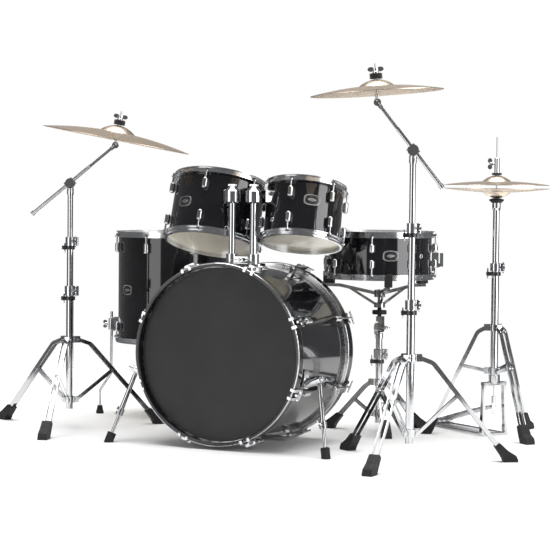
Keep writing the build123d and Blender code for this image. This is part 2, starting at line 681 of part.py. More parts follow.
def boom_stand(name, stand, mid_low, mid_top, up_low, tilt_z, boom_angle, low_arm, high_arm, lean):
    """Mid tube, upper tube, boom and tilter above a stand's base tube; returns the cymbal's plane."""
    axis = stand.foot
    pivot = Plane(axis + Vector(0, 0, tilt_z), x_dir=RIGHT, z_dir=AUDIENCE)
    boom_way = Vector(cos(radians(boom_angle)), sin(radians(boom_angle)), 0)
    tip = boom_way * high_arm

    with BuildPart() as mid_tube:
        add(bar(axis + Vector(0, 0, mid_low), axis + Vector(0, 0, mid_top), MID_R, TOP_R + 0.1))
        with Locations(Plane(axis + Vector(0, 0, mid_top - 30), x_dir=RIGHT).location):
            add(tube_clamp(MID_R - 0.5, 30))
        with Locations(Plane(axis + Vector(0, 0, mid_top - 43), x_dir=-RIGHT).location):
            add(tube_clamp(MID_R - 0.5, 13))
    write(mid_tube, name + "_stand_mid_tube")

    with BuildPart() as upper_tube:
        add(bar(axis + Vector(0, 0, up_low), axis + Vector(0, 0, tilt_z - 18), TOP_R, 8))
        add(bar(axis + Vector(0, 0, tilt_z - 40), axis + Vector(0, 0, tilt_z - 18), 12))
        with Locations(pivot.location * Location((0, -17, -3))):
            Box(20, 14, 14)
        with Locations(pivot.location * Location((0, 0, -3))):
            Cylinder(DISC_R, 14)
        with Locations(pivot.location * Location((0, 0, -2))):
            Cylinder(4, 28)
        with Locations(pivot.location * Location((0, 0, -9), (180, 0, 0))):
            add(wing_screw(8))
    write(upper_tube, name + "_stand_upper_tube")

    with BuildPart() as boom:
        with Locations(pivot.location * Location((0, 0, 9.2))):
            Cylinder(DISC_R, 9.8)
        with Locations(pivot.location * Location((0, 0, ARM_PLANE), (0, 0, boom_angle))):
            Box(32, 24, 22)
            Cylinder(6, 34)
        arm_base = pivot.offset(ARM_PLANE)
        low_end = arm_base.from_local_coords(boom_way * -low_arm)
        waist = arm_base.from_local_coords(boom_way * (high_arm * 0.45))
        high_end = arm_base.from_local_coords(boom_way * (high_arm - 12.5))
        add(bar(low_end, waist, 6))
        add(bar(waist, high_end, 4.8))
        add(bar(low_end, arm_base.from_local_coords(boom_way * (12 - low_arm)), 8))
        tip_place = pivot.location * Location((tip.X, tip.Y, 0), (0, 0, boom_angle))
        with Locations(tip_place * Location((0, 0, 18.9))):
            Cylinder(11, 9.8)
        with Locations(tip_place * Location((-12, 0, 18.9))):
            Box(20, 12, 9.8)
        with Locations(tip_place * Location((0, 0, 28))):
            Cylinder(3, 28)
        with Locations(tip_place * Location((0, 0, 34.4))):
            add(wing_screw(1, 13))
        with Locations(pivot.location):
            Cylinder(4.06, 28.4, mode=Mode.SUBTRACT)
    write(boom, name + "_boom")

    lean_way = pivot.x_dir * sin(radians(lean)) + pivot.y_dir * cos(radians(lean))
    tilter_base = Plane(pivot.from_local_coords(Vector(tip.X, tip.Y, ARM_PLANE + 5)),
                        x_dir=AUDIENCE, z_dir=lean_way)
    with BuildPart() as tilter:
        with Locations(tip_place * Location((0, 0, ARM_PLANE + 5))):
            Cylinder(11, 9.8)
        add(turned([(0, 0), (4.4, 0), (4.4, 14), (7, 17), (7, 40), (4, 43), (4, 52), (13, 54), (13, 56.4),
                    (5.6, 56.4), (5.6, 88), (3, 88), (3, 118), (0, 118)], tilter_base))
        with Locations(tip_place * Location((0, 0, ARM_PLANE + 5))):
            Cylinder(3.06, 12, mode=Mode.SUBTRACT)
        add(turned([(5.8, 56.6), (17, 56.6), (17, 62.5), (7.5, 65.8), (5.8, 65.8)], tilter_base))
        add(turned([(5.8, 70.6), (18, 70.6), (19.5, 72), (19.5, 86), (17, 88), (5.8, 88)], tilter_base))
        add(turned([(3.2, 88.4), (10, 88.4), (10, 92), (7.5, 94), (7.5, 103), (3.2, 103)], tilter_base))
        for side in (-1, 1):
            with BuildSketch(on(tilter_base, Plane.YZ.offset(-1.5))):
                with Locations((side * 14.5, 100)):
                    Ellipse(10, 7.2)
            extrude(amount=3)
    write(tilter, name + "_tilter")
    return tilter_base.offset(SEAT)


ride = boom_stand("left", tripods["left"], 300, 662, 480, 849, 40, 170, 205, 10.6)
write(cymbal(ride, 254, 60, 24, 26, 1.8), "ride_cymbal")
crash = boom_stand("right", tripods["right"], 300, 735, 540, 959, 128, 146, 182, -4)
write(cymbal(crash, 203, 55, 20, 20), "crash_cymbal")

# ---------------------------------------------------------------- snare drum and its stand

snare = Drum(kit(275.4, 485.1, 612), (0, 0, 1), 177, 5.5 * INCH, 8, -76.3)
with BuildPart() as snare_shell:
    add(drum_shell(snare))
write(snare_shell, "snare_shell")
write(drum_heads(snare), "snare_heads")
write(drum_hoops(snare), "snare_hoops")
write(drum_lugs(snare, 30), "snare_lugs")

STRAINER_AT = 36.5
LEVER_OUT = 30.0               # the lever's pin from the shell's outside
LEVER_UP = -36.0               # and from the shell's middle
CHEEK_AT = 9.5
strainer_place = Plane(snare.plane.origin + heading(STRAINER_AT) * snare.radius,
                       x_dir=heading(STRAINER_AT), z_dir=(0, 0, 1))
butt_place = Plane(snare.plane.origin - heading(STRAINER_AT) * snare.radius,
                   x_dir=-heading(STRAINER_AT), z_dir=(0, 0, 1))
with BuildPart() as snare_strainer:
    with Locations(strainer_place.location * Location((1, 0, -8))):
        Box(10, 34, 74)
    with Locations(strainer_place.location * Location((LEVER_OUT / 2, 0, -18))):
        Box(LEVER_OUT, 16, 52)
    with Locations(strainer_place.location * Location((LEVER_OUT, 0, LEVER_UP), (90, 0, 0))):
        Cylinder(7.4, 16)
        Cylinder(2.5, 24)
    with Locations(strainer_place.location * Location((22, 0, 13))):
        Cylinder(3, 16)
    with Locations(strainer_place.location * Location((22, 0, 23))):
        Cylinder(7, 12)
    with Locations(strainer_place.location * Location((12, 0, -50))):
        Box(14, 26, 13)
    with Locations(butt_place.location * Location((5, 0, -20))):
        Box(22, 30, 34)
    with Locations(butt_place.location * Location((12, 0, -44))):
        Box(12, 30, 16)
    with Locations(snare.plane.location):
        Cylinder(snare.radius, snare.depth, mode=Mode.SUBTRACT)
write(snare_strainer, "snare_strainer")

# The throw-off lever: two cheeks on the pin and an upright handle across them, which swings outward.
lever_pin = strainer_place.location * Location((LEVER_OUT, 0, LEVER_UP))
with BuildPart() as snare_lever:
    for side in (-1, 1):
        with Locations(lever_pin * Location((0, side * CHEEK_AT, 0), (90, 0, 0))):
            Cylinder(6.5, 2.6)
        with Locations(lever_pin * Location((8, side * CHEEK_AT, 0))):
            Box(16, 2.6, 9)
        with Locations(lever_pin * Location((13, side * CHEEK_AT, 2))):
            Box(6, 2.6, 9)
    with Locations(lever_pin * Location((13, 0, 22.5))):
        Box(6, 2 * CHEEK_AT + 2.6, 39)
    with Locations(lever_pin * Location((0, 0, 0), (90, 0, 0))):
        Cylinder(2.56, 30, mode=Mode.SUBTRACT)
write(snare_lever, "snare_lever")

# Snare wires: end plates with a bed of thin strands under the lower head.
WIRE_TOP = 612 - snare.depth / 2 - FILM - 0.4
wires_place = Plane(Vector(snare.plane.origin.X, snare.plane.origin.Y, WIRE_TOP),
                    x_dir=heading(STRAINER_AT), z_dir=(0, 0, 1))
with BuildPart() as snare_wires:
    for side in (-1, 1):
        with Locations(wires_place.location * Location((side * 145, 0, -0.9))):
            Box(18, 52, 1.8)
    for row in range(-5, 6):
        with Locations(wires_place.location * Location((0, row * 4.2, -0.9))):
            Box(280, 1.4, 1.4)
write(snare_wires, "snare_wires")

TILT_Z = 360.0
snare_foot = tripods["snare"].foot
tilt_place = Plane(snare_foot + Vector(0, 0, TILT_Z), x_dir=(0, 1, 0), z_dir=(1, 0, 0))
with BuildPart() as snare_stand_upper:
    add(bar(snare_foot + Vector(0, 0, 118), snare_foot + Vector(0, 0, 330), MID_R, MID_R - TUBE_WALL))
    add(bar(snare_foot + Vector(0, 0, 322), snare_foot + Vector(0, 0, 340), 13))
    with Locations(snare_foot + Vector(-7.2, 0, 344)):
        Box(14, 22, 16)
    with Locations(tilt_place.location * Location((0, 0, -7.2))):
        Cylinder(16, 14)
    with Locations(tilt_place.location * Location((0, 0, 3))):
        Cylinder(4, 26)
    with Locations(tilt_place.location * Location((0, 0, 14.4))):
        add(wing_screw(5))
write(snare_stand_upper, "snare_stand_upper")

BASKET_ARM_Z = 503.0
GRIP_IN = snare.radius + 22.2
with BuildPart() as snare_basket:
    with Locations(tilt_place.location * Location((0, 0, 7.2))):
        Cylinder(16, 14)
    with Locations(snare_foot + Vector(7.2, 0, 382)):
        Box(14, 22, 34)
    with Locations(snare_foot + Vector(2, 0, 390)):
        Box(20, 22, 18)
    add(bar(snare_foot + Vector(0, 0, 384), snare_foot + Vector(0, 0, 492), 7))
    add(bar(snare_foot + Vector(0, 0, 430), snare_foot + Vector(0, 0, 446), 19))
    add(bar(snare_foot + Vector(0, 0, 466), snare_foot + Vector(0, 0, 490), 19))
    for turn in (61, 181, 301):
        arm_plane = Plane(snare_foot, x_dir=heading(turn), z_dir=heading(turn - 90))
        with BuildSketch(arm_plane.offset(-3)) as arm_sketch:
            with BuildLine() as arm_route:
                FilletPolyline((10, 478), (150, BASKET_ARM_Z), (GRIP_IN + 6, BASKET_ARM_Z), radius=40)
            trace(arm_route.line, line_width=11)
            with BuildLine() as brace_route:
                Line((10, 438), (112, 495))
            trace(brace_route.line, line_width=8)
        extrude(amount=6)
    with Locations(tilt_place.location):
        Cylinder(4.06, 30, mode=Mode.SUBTRACT)
    add(turned([(7.3, 406), (24, 406), (25, 408), (25, 418), (24, 420), (7.3, 420)], Plane(snare_foot)))
write(snare_basket, "snare_basket")

# Rubber grips: a ledge under the lower hoop and an upright outside it.
ledge_top = 612 - snare.depth / 2 - RIM_HEIGHT - 0.3
with BuildPart() as snare_grips:
    for turn in (61, 181, 301):
        arm_plane = Plane(snare_foot, x_dir=heading(turn), z_dir=heading(turn - 90))
        with BuildSketch(arm_plane.offset(-11)):
            with BuildLine():
                Polyline((172, BASKET_ARM_Z + 5.8), (GRIP_IN + 9, BASKET_ARM_Z + 5.8), (GRIP_IN + 9, 550),
                         (GRIP_IN, 554), (GRIP_IN, ledge_top), (172, ledge_top), close=True)
            make_face()
        extrude(amount=22)
write(snare_grips, "snare_grips")

# ---------------------------------------------------------------- hi-hat

TOE_WAY = Vector(0.828, -0.560, 0)
hihat_foot = tripods["hihat"].foot
hihat = Plane(hihat_foot, x_dir=-TOE_WAY, z_dir=(0, 0, 1))      # X towards the heel
HEEL_OUT = 300.0
HEEL_Z = 14.0
TOE_OUT = 8.0
TOE_Z = 94.0
with BuildPart() as hihat_frame:
    with Locations(hihat.location * Location((0, 0, 193))):
        Cylinder(21, 28)
    with Locations(hihat.location * Location((0, 0, 178))):
        Box(26, 92, 12)
    for side in (-1, 1):
        with BuildSketch(on(hihat, Plane.YZ).offset(-8)):
            with BuildLine():
                Polyline((side * 36, 184), (side * 46, 184), (side * 54, 4), (side * 44, 4), close=True)
            make_face()
        extrude(amount=16)
        rod_start = hihat.from_local_coords(Vector(4, side * 46, 6))
        rod_end = hihat.from_local_coords(Vector(300, side * 40, 6))
        add(bar(rod_start, rod_end, 3))
        with Locations(hihat.location * Location((HEEL_OUT, side * 37, HEEL_Z), (90, 0, 0))):
            Cylinder(7, 14)
        with Locations(hihat.location * Location((HEEL_OUT, side * 37, 7))):
            Box(14, 14, 12)
    with Locations(hihat.location * Location((0, 0, 4))):
        Box(20, 108, 8)
    with Locations(hihat.location * Location((HEEL_OUT + 12, 0, 2.5))):
        Box(46, 92, 5)
    with Locations(hihat.location * Location((HEEL_OUT, 0, HEEL_Z), (90, 0, 0))):
        Cylinder(3, 84)
    with Locations(hihat.location * Location((0, 0, 203))):
        Cylinder(BASE_R + HUB_FIT, 8, mode=Mode.SUBTRACT)
    with Locations(hihat.location * Location((0, 0, 185))):
        Cylinder(5, 60, mode=Mode.SUBTRACT)
write(hihat_frame, "hihat_frame")

board_slope = degrees(atan2(TOE_Z - HEEL_Z, HEEL_OUT - TOE_OUT))
board_length = hypot(TOE_Z - HEEL_Z, HEEL_OUT - TOE_OUT)
heel_point = hihat.from_local_coords(Vector(HEEL_OUT, 0, HEEL_Z))
toe_run = TOE_WAY * cos(radians(board_slope)) + Vector(0, 0, sin(radians(board_slope)))
board = Plane(heel_point, x_dir=toe_run, z_dir=toe_run.cross(TOE_WAY.cross(Vector(0, 0, 1))) * -1)
with BuildPart() as hihat_footboard:
    with BuildSketch(board.offset(3)):
        with BuildLine():
            Polyline((11, -44), (board_length * 0.72, -41), (board_length, -22), (board_length, 22),
                     (board_length * 0.72, 41), (11, 44), close=True)
        make_face()
    extrude(amount=6)
    fillet(hihat_footboard.edges().filter_by(Axis(board.origin, board.z_dir)), 8)
    with Locations(board.location * Location((0, 0, 0), (90, 0, 0))):
        Cylinder(6.4, 58)
    with Locations(board.location * Location((7, 0, 4))):
        Box(14, 58, 8)
    with BuildSketch(board.offset(12)):
        with Locations(*[(60 + 30 * row, 0) for row in range(6)]):
            SlotOverall(50, 7, rotation=90)
    extrude(amount=-2.6, mode=Mode.SUBTRACT)
    with Locations(board.location * Location((0, 0, 0), (90, 0, 0))):
        Cylinder(3.06, 60, mode=Mode.SUBTRACT)
write(hihat_footboard, "hihat_footboard")

with BuildPart() as hihat_rod:
    add(bar(hihat_foot + Vector(0, 0, 118), hihat_foot + Vector(0, 0, 1019), 3))
    add(bar(hihat_foot + Vector(0, 0, 112), hihat_foot + Vector(0, 0, 134), 8))
    with Locations(hihat.location * Location((0, 0, 96))):
        Box(3, 16, 52)
write(hihat_rod, "hihat_rod")

with BuildPart() as hihat_upper_tube:
    add(bar(hihat_foot + Vector(0, 0, 420), hihat_foot + Vector(0, 0, 782), MID_R, MID_R - TUBE_WALL))
    add(turned([(4, 770), (12.5, 770), (14.5, 778), (14.5, 794.8), (4, 794.8)], Plane(hihat_foot)))
    add(turned([(4, 795), (16, 795), (25, 803), (25, 807), (12, 811), (4, 811)], Plane(hihat_foot)))
write(hihat_upper_tube, "hihat_upper_tube")

BOTTOM_HAT_Z = 812.9
TOP_HAT_Z = 887.0
write(cymbal(Plane(hihat_foot + Vector(0, 0, BOTTOM_HAT_Z), z_dir=(0, 0, -1)), 178, 48, 20, 12),
      "hihat_bottom_cymbal")
write(cymbal(Plane(hihat_foot + Vector(0, 0, TOP_HAT_Z)), 178, 48, 20, 12), "hihat_top_cymbal")

with BuildPart() as hihat_clutch:
    add(turned([(3.06, 875), (12, 875), (12, 880), (6, 880), (6, 897.2), (9, 897.2), (9, 946), (7, 948),
                (3.06, 948)], Plane(hihat_foot)))
    add(turned([(6.2, 880.2), (15, 880.2), (15, 884), (6.2, 886)], Plane(hihat_foot)))
    add(turned([(6.2, 889.4), (15, 889.4), (17, 891), (17, 897), (6.2, 897)], Plane(hihat_foot)))
    with Locations(Plane(hihat_foot + RIGHT * -5 + Vector(0, 0, 928), x_dir=-RIGHT).location):
        add(wing_screw(10).rotate(Axis.Y, 90))
write(hihat_clutch, "hihat_clutch")
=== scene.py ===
"""The looks of an acoustic drum kit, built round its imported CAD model. Metres, +Z up."""
import math

import bmesh
import bpy
import numpy as np
from mathutils import Matrix, Vector


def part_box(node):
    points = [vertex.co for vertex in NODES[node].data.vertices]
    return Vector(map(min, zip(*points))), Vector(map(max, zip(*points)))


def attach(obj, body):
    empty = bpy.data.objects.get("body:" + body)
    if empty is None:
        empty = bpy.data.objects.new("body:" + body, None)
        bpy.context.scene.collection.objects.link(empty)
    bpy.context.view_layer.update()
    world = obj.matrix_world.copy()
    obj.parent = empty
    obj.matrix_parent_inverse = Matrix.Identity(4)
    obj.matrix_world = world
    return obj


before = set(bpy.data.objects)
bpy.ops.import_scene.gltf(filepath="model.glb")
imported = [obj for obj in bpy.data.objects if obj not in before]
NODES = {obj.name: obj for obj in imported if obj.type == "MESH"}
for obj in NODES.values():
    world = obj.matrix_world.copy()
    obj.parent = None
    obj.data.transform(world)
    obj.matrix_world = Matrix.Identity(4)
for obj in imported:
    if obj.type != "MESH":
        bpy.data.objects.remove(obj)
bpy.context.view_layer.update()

MM = 0.001


# ---------------------------------------------------------------- places read from the CAD nodes

def face_places(node):
    """The middles of a CAD node's faces, one row each."""
    polygons = NODES[node].data.polygons
    places = np.zeros(len(polygons) * 3)
    polygons.foreach_get("center", places)
    return places.reshape(-1, 3)


def face_areas(node):
    """The areas of a CAD node's faces."""
    polygons = NODES[node].data.polygons
    areas = np.zeros(len(polygons))
    polygons.foreach_get("area", areas)
    return areas


def face_heights(node):
    """How high each of a CAD node's faces is."""
    return face_places(node)[:, 2]


def add_object(name, data):
    """A new object in the scene."""
    made = bpy.data.objects.new(name, data)
    bpy.context.scene.collection.objects.link(made)
    return made


class Round:
    """The axis of a turned CAD node: its middle, its direction and two directions square to it."""

    def __init__(self, node, towards):
        centres, areas = face_places(node), face_areas(node)
        middle = np.average(centres, axis=0, weights=areas)
        spread = (centres - middle).T @ ((centres - middle) * areas[:, None])
        sizes, ways = np.linalg.eigh(spread)
        single = 0 if sizes[1] - sizes[0] > sizes[2] - sizes[1] else 2
        axis = Vector(ways[:, single])
        self.axis = axis if axis.dot(Vector(towards)) > 0 else -axis
        self.middle = Vector(middle)
        self.side = (Vector((1, 0, 0)) - self.axis * self.axis.x).normalized()
        self.back = self.axis.cross(self.side)

    def local(self, points):
        """Distance from the axis and height along it, for an array of points."""
        offset = np.asarray(points) - np.array(self.middle)
        height = offset @ np.array(self.axis)
        across = offset - height[:, None] * np.array(self.axis)
        return np.linalg.norm(across, axis=1), height

    def out(self, angle):
        """The outward direction at an angle about the axis, in degrees from +X."""
        turn = math.radians(angle)
        return self.side * math.cos(turn) + self.back * math.sin(turn)

    def point(self, radius, angle, height):
        """The point at a distance from the axis, an angle about it and a height along it."""
        return self.middle + self.out(angle) * radius + self.axis * height


class Drum(Round):
    """A drum's axis, with its shell's radius and half depth."""

    def __init__(self, name, towards=(0, 0, 1)):
        super().__init__(name + "_heads", towards)
        corners = [v.co for v in NODES[name + "_shell"].data.vertices]
        radius, height = self.local(corners)
        self.half = np.abs(height).max()
        self.radius = radius[np.abs(height) > self.half - 0.2 * MM].max()


DRUMS = {name: Drum(name) for name in ("left_tom", "right_tom", "floor_tom", "snare")}
BASS = Drum("bass", (0, -1, 0))
CYMBALS = {name: Round(name, (0, 0, 1)) for name in
           ("ride_cymbal", "crash_cymbal", "hihat_top_cymbal", "hihat_bottom_cymbal")}


# ---------------------------------------------------------------- camera, floor and light

SENSOR = 36.0                  # millimetres, as is the lens
LENS = 123.5
CAMERA_AT = Vector((2.8073, -5.7198, 0.842))
CAMERA_TURN = math.radians(25.5)     # from +Y towards -X
CAMERA_DIP = math.radians(2.67)      # below level
CAMERA_ROLL = math.radians(0.55)


def camera():
    """The camera at the photograph's viewing angle, rolled a little as the picture is."""
    look = Vector((-math.sin(CAMERA_TURN) * math.cos(CAMERA_DIP),
                   math.cos(CAMERA_TURN) * math.cos(CAMERA_DIP), -math.sin(CAMERA_DIP)))
    right = Vector((math.cos(CAMERA_TURN), math.sin(CAMERA_TURN), 0))
    up = right.cross(look)
    rolled_right = right * math.cos(CAMERA_ROLL) + up * math.sin(CAMERA_ROLL)
    rolled_up = up * math.cos(CAMERA_ROLL) - right * math.sin(CAMERA_ROLL)
    data = bpy.data.cameras.new("camera")
    data.lens = LENS
    data.sensor_width = SENSOR
    data.clip_end = 200
    eye = add_object("camera", data)
    turned = Matrix((rolled_right, rolled_up, -look)).transposed().to_4x4()
    eye.matrix_world = Matrix.Translation(CAMERA_AT) @ turned
    bpy.context.scene.camera = eye


def softbox(name, place, aim, width, height, power):
    """A rectangular soft light that faces a point, and shows only in reflections."""
    data = bpy.data.lights.new(name, "AREA")
    data.shape = "RECTANGLE"
    data.size = width
    data.size_y = height
    data.energy = power
    light = add_object(name, data)
    light.location = place
    light.rotation_euler = (Vector(aim) - Vector(place)).to_track_quat("-Z", "Y").to_euler()
    light.visible_camera = False


def around_kit(angle, distance, height):
    turn = CAMERA_TURN - math.pi / 2 + math.radians(angle)
    return Vector((math.cos(turn) * distance, math.sin(turn) * distance, height))


HORIZON = 1.0
FLOOR_RADIUS = 2.4             # past this the floor gives way to the backdrop
DIM, BRIGHT = 0.16, 0.18
LIGHTS_AIM = Vector((0, 0, 0.6))
SOFT_LIGHTS = (
    ("left_light", -45, 4.6, 1.3, 2.6, 3.0, 52),
    ("right_light", 58, 4.8, 1.3, 3.2, 3.0, 130),
    ("top_light", 0, 0.4, 4.4, 3.4, 3.4, 50))
SKY_POWER = 3.7                # a broad sun without highlights, which keeps the floor pale
SKY_SPREAD = math.radians(60)


def mirrored_room(tree):
    place = tree.nodes.new("ShaderNodeTexCoord")
    facing = tree.nodes.new("ShaderNodeVectorMath")
    facing.operation = "DOT_PRODUCT"
    facing.inputs[1].default_value = (math.sin(CAMERA_TURN), -math.cos(CAMERA_TURN), 0)
    tree.links.new(place.outputs["Generated"], facing.inputs[0])
    spread = tree.nodes.new("ShaderNodeMapRange")
    spread.interpolation_type = "SMOOTHSTEP"
    for name, value in (("From Min", 0.75), ("From Max", -0.35),
                        ("To Min", DIM), ("To Max", BRIGHT)):
        spread.inputs[name].default_value = value
    tree.links.new(facing.outputs["Value"], spread.inputs["Value"])
    room = tree.nodes.new("ShaderNodeBackground")
    room.inputs["Color"].default_value = (0.97, 0.98, 1, 1)
    tree.links.new(spread.outputs["Result"], room.inputs["Strength"])
    return room.outputs[0]


def studio():
    """A white backdrop that only the camera sees, a dim mirrored room and the lights."""
    world = bpy.data.worlds.new("studio")
    bpy.context.scene.world = world
    world.use_nodes = True
    tree = world.node_tree
    backdrop = tree.nodes["Background"]
    backdrop.inputs["Color"].default_value = (1, 1, 1, 1)
    backdrop.inputs["Strength"].default_value = HORIZON
    rays = tree.nodes.new("ShaderNodeLightPath")
    mix = tree.nodes.new("ShaderNodeMixShader")
    tree.links.new(rays.outputs["Is Camera Ray"], mix.inputs[0])
    tree.links.new(mirrored_room(tree), mix.inputs[1])
    tree.links.new(backdrop.outputs[0], mix.inputs[2])
    tree.links.new(mix.outputs[0], tree.nodes["World Output"].inputs["Surface"])
    for name, angle, distance, height, width, tall, power in SOFT_LIGHTS:
        softbox(name, around_kit(angle, distance, height), LIGHTS_AIM, width, tall, power)
    sun = bpy.data.lights.new("sky_light", "SUN")
    sun.energy = SKY_POWER
    sun.angle = SKY_SPREAD
    sun.specular_factor = 0
    add_object("sky_light", sun)
    bpy.context.scene.view_settings.view_transform = "Standard"


def floor():
    """A round pale floor that runs out into the white backdrop."""
    mesh = bpy.data.meshes.new("floor")
    shape = bmesh.new()
    bmesh.ops.create_circle(shape, cap_ends=True, radius=FLOOR_RADIUS, segments=96)
    shape.to_mesh(mesh)
    shape.free()
    ground = add_object("floor", mesh)
    mesh.materials.append(floor_paint())


# ---------------------------------------------------------------- materials

class Finish:
    """A material with short ways to wire its nodes."""

    def __init__(self, name, values):
        self.material = bpy.data.materials.new(name)
        self.material.use_nodes = True
        self.tree = self.material.node_tree
        self.shader = self.tree.nodes["Principled BSDF"]
        for socket, value in values.items():
            self.shader.inputs[socket].default_value = value

    def node(self, kind, **settings):
        """A new node with its settings."""
        made = self.tree.nodes.new(kind)
        for name, value in settings.items():
            setattr(made, name, value)
        return made

    def join(self, out, into):
        """A link from one socket to another."""
        self.tree.links.new(out, into)

    def wire(self, made, *values):
        """A node's first inputs, each set to a value or fed from another node."""
        for value, socket in zip(values, made.inputs):
            if isinstance(value, bpy.types.NodeSocket):
                self.join(value, socket)
            else:
                socket.default_value = value
        return made

    def place(self):
        """The surface's own place, in metres."""
        return self.node("ShaderNodeTexCoord").outputs["Object"]

    def noise(self, scale, detail=2.0, vector=None, rough=0.5):
        """Noise over the surface, or over another vector."""
        made = self.node("ShaderNodeTexNoise")
        made.inputs["Scale"].default_value = scale
        made.inputs["Detail"].default_value = detail
        made.inputs["Roughness"].default_value = rough
        self.join(vector if vector is not None else self.place(), made.inputs["Vector"])
        return made.outputs["Fac"]

    def math(self, operation, a, b=0.0):
        """A sum on one or two numbers."""
        return self.wire(self.node("ShaderNodeMath", operation=operation), a, b).outputs[0]

    def vector_math(self, operation, a, b=(0, 0, 0)):
        """A node that works on one or two vectors."""
        return self.wire(self.node("ShaderNodeVectorMath", operation=operation), a, b)

    def ramp(self, factor, *stops):
        """Colours or greys by position along a factor."""
        made = self.node("ShaderNodeValToRGB")
        self.join(factor, made.inputs[0])
        elements = made.color_ramp.elements
        while len(elements) < len(stops):
            elements.new(0.5)
        for element, (position, colour) in zip(elements, stops):
            element.position = position
            element.color = (*colour, 1) if isinstance(colour, tuple) else (*(colour,) * 3, 1)
        return made.outputs[0]

    def colour(self, factor, *stops):
        """The base colour by position along a factor."""
        self.join(self.ramp(factor, *stops), self.shader.inputs["Base Color"])
        return self

    def roughness(self, factor, low, high):
        """The roughness, from low to high along a factor."""
        self.join(self.ramp(factor, (0.25, low), (0.75, high)), self.shader.inputs["Roughness"])
        return self

    def bump(self, height, distance, strength=1.0):
        """Fine relief of a depth in metres."""
        made = self.node("ShaderNodeBump")
        made.inputs["Distance"].default_value = distance
        made.inputs["Strength"].default_value = strength
        self.join(height, made.inputs["Height"])
        self.join(made.outputs[0], self.shader.inputs["Normal"])
        return self

    def radius(self, line):
        """Distance from a turned piece's axis."""
        offset = self.vector_math("SUBTRACT", self.place(), line.middle).outputs[0]
        across = self.vector_math("CROSS_PRODUCT", offset, line.axis).outputs[0]
        return self.vector_math("LENGTH", across).outputs["Value"]


def lacquer():
    """Gloss black wrap: faint orange peel under a clear coat."""
    finish = Finish("gloss_black", {"Coat Weight": 0.6, "Coat Roughness": 0.02, "IOR": 1.5})
    finish.colour(finish.noise(9, 3), (0.3, (0.004, 0.004, 0.005)), (0.75, (0.010, 0.010, 0.012)))
    finish.roughness(finish.noise(14, 4), 0.05, 0.11)
    return finish.bump(finish.noise(55, 2), 0.00006, 0.35).material


OUTER_LINE = 3 * MM            # the silver line round a wooden hoop's outer corner
INNER_LINE = 4 * MM            # and the one along its edge towards the shell


def inlaid_hoop(drum, low, high, rim):
    """Gloss black hoop with a silver line along both of its edges."""
    finish = Finish("inlaid_hoop", {"IOR": 1.5})
    offset = finish.vector_math("SUBTRACT", finish.place(), drum.middle).outputs[0]
    along = finish.vector_math("DOT_PRODUCT", offset, drum.axis).outputs["Value"]
    across = finish.math("ABSOLUTE", along)
    corner = finish.math("MULTIPLY", finish.math("GREATER_THAN", across, high - OUTER_LINE),
                         finish.math("GREATER_THAN", finish.radius(drum), rim - OUTER_LINE))
    edge = finish.math("ADD", finish.math("LESS_THAN", across, low + INNER_LINE), corner)
    finish.colour(edge, (0.4, (0.006, 0.006, 0.007)), (0.6, (0.66, 0.66, 0.67)))
    finish.join(edge, finish.shader.inputs["Metallic"])
    finish.roughness(finish.noise(14, 4), 0.08, 0.2)
    return finish.bump(finish.noise(55, 2), 0.00006, 0.35).material


def chrome(name="chrome", shade=0.60, low=0.05, high=0.13):
    """Plated steel with a little handling haze."""
    finish = Finish(name, {"Metallic": 1.0})
    finish.colour(finish.noise(11, 3), (0.3, (shade * 0.94, shade * 0.95, shade * 0.97)),
                  (0.7, (shade, shade * 1.005, shade * 1.02)))
    finish.roughness(finish.noise(38, 5, rough=0.65), low, high)
    return finish.bump(finish.noise(240, 2), 0.00002, 0.25).material


def wood():
    """Bare ply inside a shell: long grain with darker lines."""
    finish = Finish("bare_ply", {"Roughness": 0.55})
    stretch = finish.node("ShaderNodeMapping")
    stretch.inputs["Scale"].default_value = (9, 9, 60)
    finish.join(finish.place(), stretch.inputs["Vector"])
    grain = finish.noise(3, 6, stretch.outputs[0], 0.7)
    finish.colour(grain, (0.3, (0.42, 0.27, 0.14)), (0.55, (0.60, 0.43, 0.26)),
                  (0.8, (0.68, 0.52, 0.34)))
    return finish.bump(grain, 0.0002, 0.4).material


def coated_head():
    """White coated film, finely pebbled, a little uneven in tone."""
    finish = Finish("coated_head", {"Specular IOR Level": 0.35})
    finish.colour(finish.noise(7, 4), (0.3, (0.50, 0.495, 0.475)), (0.7, (0.58, 0.575, 0.555)))
    finish.roughness(finish.noise(30, 3), 0.45, 0.62)
    return finish.bump(finish.noise(900, 2), 0.0001, 0.5).material


def clear_head():
    """Thin clear film over the pale inside of the shell."""
    finish = Finish("resonant_head", {"Coat Weight": 0.35, "Coat Roughness": 0.06})
    finish.colour(finish.noise(3.2, 3), (0.25, (0.76, 0.70, 0.55)), (0.75, (0.86, 0.81, 0.68)))
    finish.roughness(finish.noise(6, 2), 0.26, 0.38)
    return finish.bump(finish.noise(5, 1), 0.0003, 0.3).material


def front_head():
    """Satin charcoal film of the bass drum's front."""
    finish = Finish("charcoal_head", {"Specular IOR Level": 0.34})
    finish.colour(finish.noise(4, 4), (0.3, (0.011, 0.011, 0.012)), (0.7, (0.015, 0.015, 0.0165)))
    finish.roughness(finish.noise(18, 3), 0.42, 0.52)
    return finish.bump(finish.noise(700, 2), 0.00005, 0.4).material


def rubber():
    """Matt black rubber, slightly grainy."""
    finish = Finish("black_rubber", {"Specular IOR Level": 0.35})
    finish.colour(finish.noise(25, 4), (0.3, (0.005, 0.005, 0.0055)), (0.75, (0.012, 0.012, 0.013)))
    finish.roughness(finish.noise(60, 4), 0.48, 0.7)
    return finish.bump(finish.noise(420, 3), 0.0002, 0.4).material


